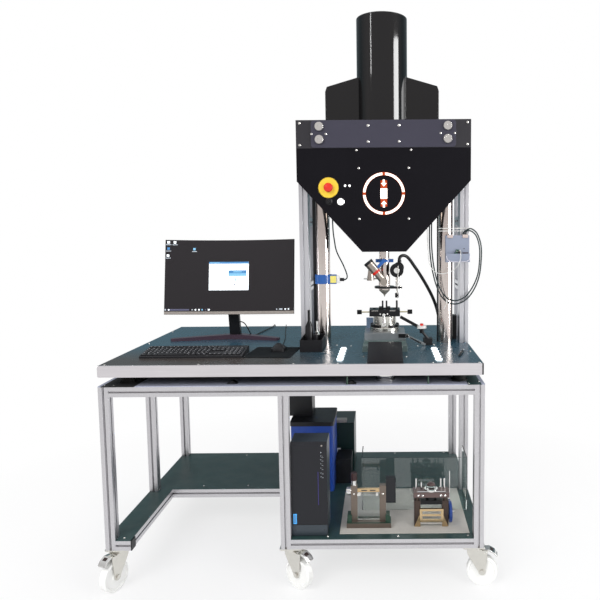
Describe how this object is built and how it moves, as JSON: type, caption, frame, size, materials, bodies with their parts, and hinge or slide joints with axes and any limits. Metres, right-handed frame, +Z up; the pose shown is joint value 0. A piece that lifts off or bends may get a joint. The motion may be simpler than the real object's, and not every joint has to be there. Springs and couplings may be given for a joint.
{
  "type": "uniaxial rock test bench",
  "caption": "Wheeled workbench with a two-column load frame, a vertical spindle over a compound stage, controls, a monitor workstation and a storage shelf.",
  "frame": {"origin": "on the floor, under the middle of the object's outline", "axes": "+X to the operator's right, +Y to the back, +Z up"},
  "size_m": [1.5963, 1.0546, 2.403],
  "materials": {
    "alu_profile": "satin anodised",
    "zinc": "bright zinc",
    "nylon": "white nylon",
    "green_sheet": "dark green coat",
    "bench_skin": "dark teal coat",
    "polished_steel": "ground and polished",
    "dark_plate": "satin black",
    "gloss_black": "high gloss",
    "light_panel": "lit diffuser",
    "red_plastic": "moulded",
    "black_plastic": "moulded",
    "stage_steel": "machined",
    "brass": "turned",
    "camera_grey": "satin",
    "blue_clamp": "moulded",
    "box_grey": "moulded",
    "screen": "screen and moulded shell",
    "case_paint": "moulded and painted shells",
    "jig_metal": "machined, mixed",
    "acrylic": "clear sheet",
    "cable": "cable sheath"
  },
  "bodies": {
    "bench": {"wheeled_frame": "alu_profile", "frame_fittings": "zinc", "deck_sheets": "green_sheet", "bench_top": "bench_skin", "columns": "polished_steel", "column_profiles": "alu_profile", "crosshead": "dark_plate", "face_plate": "dark_plate", "front_cover": "dark_plate", "window_panel": "light_panel", "tower_cover": "gloss_black", "actuator": "dark_plate", "stage_base": "stage_steel", "tool_tray": "black_plastic", "stand_base": "black_plastic", "column_sensor": "blue_clamp", "junction_box": "box_grey", "led_strips": "light_panel", "monitor_stand": "screen", "keyboard": "black_plastic", "mouse": "black_plastic", "pc_case": "case_paint", "storage_cases": "case_paint", "jig_one": "jig_metal", "jig_two": "jig_metal", "clear_guard": "acrylic", "fixed_cables": "cable", "gauge_cable": "cable"},
    "castor_left": {"fork_left": "zinc"},
    "castor_wheel_left": {"wheel_left": "nylon"},
    "brake_left": {"pedal_left": "zinc"},
    "castor_middle": {"fork_middle": "zinc"},
    "castor_wheel_middle": {"wheel_middle": "nylon"},
    "brake_middle": {"pedal_middle": "zinc"},
    "castor_right": {"fork_right": "zinc"},
    "castor_wheel_right": {"wheel_right": "nylon"},
    "brake_right": {"pedal_right": "zinc"},
    "castor_rear_left": {"fork_rear_left": "zinc"},
    "castor_wheel_rear_left": {"wheel_rear_left": "nylon"},
    "castor_rear_right": {"fork_rear_right": "zinc"},
    "castor_wheel_rear_right": {"wheel_rear_right": "nylon"},
    "estop": {"estop_button": "red_plastic"},
    "lamp": {"lamp_button": "light_panel"},
    "selector": {"selector_knob": "black_plastic"},
    "spindle": {"spindle": "polished_steel", "camera": "camera_grey", "gauge": "black_plastic"},
    "plunger": {"gauge_plunger": "black_plastic"},
    "y_slide": {"y_slide": "stage_steel"},
    "x_slide": {"x_slide": "stage_steel"},
    "rotary": {"rotary_table": "stage_steel", "vice_body": "black_plastic"},
    "vice_jaw_left": {"jaw_left": "black_plastic"},
    "vice_jaw_right": {"jaw_right": "black_plastic"},
    "vice_screw": {"vice_screw": "brass"},
    "ball_lever": {"ball_lever": "stage_steel"},
    "lock_lever": {"lock_lever": "stage_steel"},
    "stand_arm": {"stand_arm": "black_plastic"},
    "monitor": {"monitor": "screen"},
    "handwheel": {"handwheel": "blue_clamp"}
  },
  "joints": [
    {"name": "swivel_left", "type": "hinge", "parent": "bench", "child": "castor_left", "pos_m": [-0.742, -0.4215, 0.162], "axis": [0, 0, 1], "continuous": true},
    {"name": "roll_left", "type": "hinge", "parent": "castor_left", "child": "castor_wheel_left", "pos_m": [-0.75685, -0.45648, 0.0625], "axis": [0.9205, -0.3907, 0], "continuous": true},
    {"name": "brake_left", "type": "hinge", "parent": "castor_left", "child": "brake_left", "pos_m": [-0.76232, -0.46937, 0.1467], "axis": [0.9205, -0.3907, 0], "range_deg": [0, 16]},
    {"name": "swivel_middle", "type": "hinge", "parent": "bench", "child": "castor_middle", "pos_m": [-0.039, -0.4215, 0.162], "axis": [0, 0, 1], "continuous": true},
    {"name": "roll_middle", "type": "hinge", "parent": "castor_middle", "child": "castor_wheel_middle", "pos_m": [-0.00787, -0.4433, 0.0625], "axis": [0.5736, 0.8192, 0], "continuous": true},
    {"name": "brake_middle", "type": "hinge", "parent": "castor_middle", "child": "brake_middle", "pos_m": [0.0036, -0.45133, 0.1467], "axis": [0.5736, 0.8192, 0], "range_deg": [0, 16]},
    {"name": "swivel_right", "type": "hinge", "parent": "bench", "child": "castor_right", "pos_m": [0.698, -0.4215, 0.162], "axis": [0, 0, 1], "continuous": true},
    {"name": "roll_right", "type": "hinge", "parent": "castor_right", "child": "castor_wheel_right", "pos_m": [0.73553, -0.42745, 0.0625], "axis": [0.1564, 0.9877, 0], "continuous": true},
    {"name": "brake_right", "type": "hinge", "parent": "castor_right", "child": "brake_right", "pos_m": [0.74936, -0.42963, 0.1467], "axis": [0.1564, 0.9877, 0], "range_deg": [0, 16]},
    {"name": "swivel_rear_left", "type": "hinge", "parent": "bench", "child": "castor_rear_left", "pos_m": [-0.742, 0.4595, 0.162], "axis": [0, 0, 1], "continuous": true},
    {"name": "roll_rear_left", "type": "hinge", "parent": "castor_rear_left", "child": "castor_wheel_rear_left", "pos_m": [-0.70458, 0.4661, 0.0625], "axis": [-0.1736, 0.9848, 0], "continuous": true},
    {"name": "swivel_rear_right", "type": "hinge", "parent": "bench", "child": "castor_rear_right", "pos_m": [0.698, 0.4595, 0.162], "axis": [0, 0, 1], "continuous": true},
    {"name": "roll_rear_right", "type": "hinge", "parent": "castor_rear_right", "child": "castor_wheel_rear_right", "pos_m": [0.66058, 0.4661, 0.0625], "axis": [-0.1736, -0.9848, 0], "continuous": true},
    {"name": "estop_press", "type": "slide", "parent": "bench", "child": "estop", "axis": [0, 1, 0], "range_m": [0, 0.005], "stiffness_N_per_m": 400},
    {"name": "lamp_press", "type": "slide", "parent": "bench", "child": "lamp", "axis": [0, 1, 0], "range_m": [0, 0.003], "stiffness_N_per_m": 300},
    {"name": "selector_turn", "type": "hinge", "parent": "bench", "child": "selector", "pos_m": [0.104, -0.086, 1.574], "axis": [0, -1, 0], "range_deg": [0, 90]},
    {"name": "spindle_travel", "type": "slide", "parent": "bench", "child": "spindle", "axis": [0, 0, 1], "range_m": [-0.015, 0.03], "deforming": ["gauge_cable"]},
    {"name": "gauge_travel", "type": "slide", "parent": "spindle", "child": "plunger", "axis": [0, 0, 1], "range_m": [-0.03, 0.015]},
    {"name": "stage_y", "type": "slide", "parent": "bench", "child": "y_slide", "axis": [0, 1, 0], "range_m": [-0.02, 0.006]},
    {"name": "stage_x", "type": "slide", "parent": "y_slide", "child": "x_slide", "axis": [1, 0, 0], "range_m": [-0.01, 0.01]},
    {"name": "stage_turn", "type": "hinge", "parent": "x_slide", "child": "rotary", "pos_m": [0.346, 0.004, 0.983], "axis": [0, 0, 1], "range_deg": [-20, 20]},
    {"name": "jaw_left", "type": "slide", "parent": "rotary", "child": "vice_jaw_left", "axis": [1, 0, 0], "range_m": [-0.012, 0.003]},
    {"name": "jaw_right", "type": "slide", "parent": "rotary", "child": "vice_jaw_right", "axis": [1, 0, 0], "range_m": [-0.003, 0.012]},
    {"name": "vice_turn", "type": "hinge", "parent": "rotary", "child": "vice_screw", "pos_m": [0.346, 0.004, 1.0685], "axis": [1, 0, 0], "range_deg": [-2160, 540]},
    {"name": "drum_lock", "type": "hinge", "parent": "rotary", "child": "ball_lever", "pos_m": [0.342, -0.0615, 1.02], "axis": [0, 1, 0], "range_deg": [-35, 35]},
    {"name": "slide_lock", "type": "hinge", "parent": "x_slide", "child": "lock_lever", "pos_m": [0.446, -0.098, 0.972], "axis": [0, -1, 0], "range_deg": [0, 35]},
    {"name": "stand_swing", "type": "hinge", "parent": "bench", "child": "stand_arm", "pos_m": [0.514, -0.061, 0.993], "axis": [0, 0, 1], "range_deg": [0, 60]},
    {"name": "monitor_tilt", "type": "hinge", "parent": "bench", "child": "monitor", "pos_m": [-0.38, 0.093, 1.1415], "axis": [-1, 0, 0], "range_deg": [-15, 8]},
    {"name": "handwheel_turn", "type": "hinge", "parent": "bench", "child": "handwheel", "pos_m": [0.613, -0.353, 0.273], "axis": [1, 0, 0], "continuous": true}
  ],
  "couplings": [
    {"joint": "gauge_travel", "follows": "spindle_travel", "ratio": -1},
    {"joint": "jaw_right", "follows": "jaw_left", "ratio": -1},
    {"joint": "vice_turn", "follows": "jaw_left", "rad_per_m": 3141.6}
  ]
}
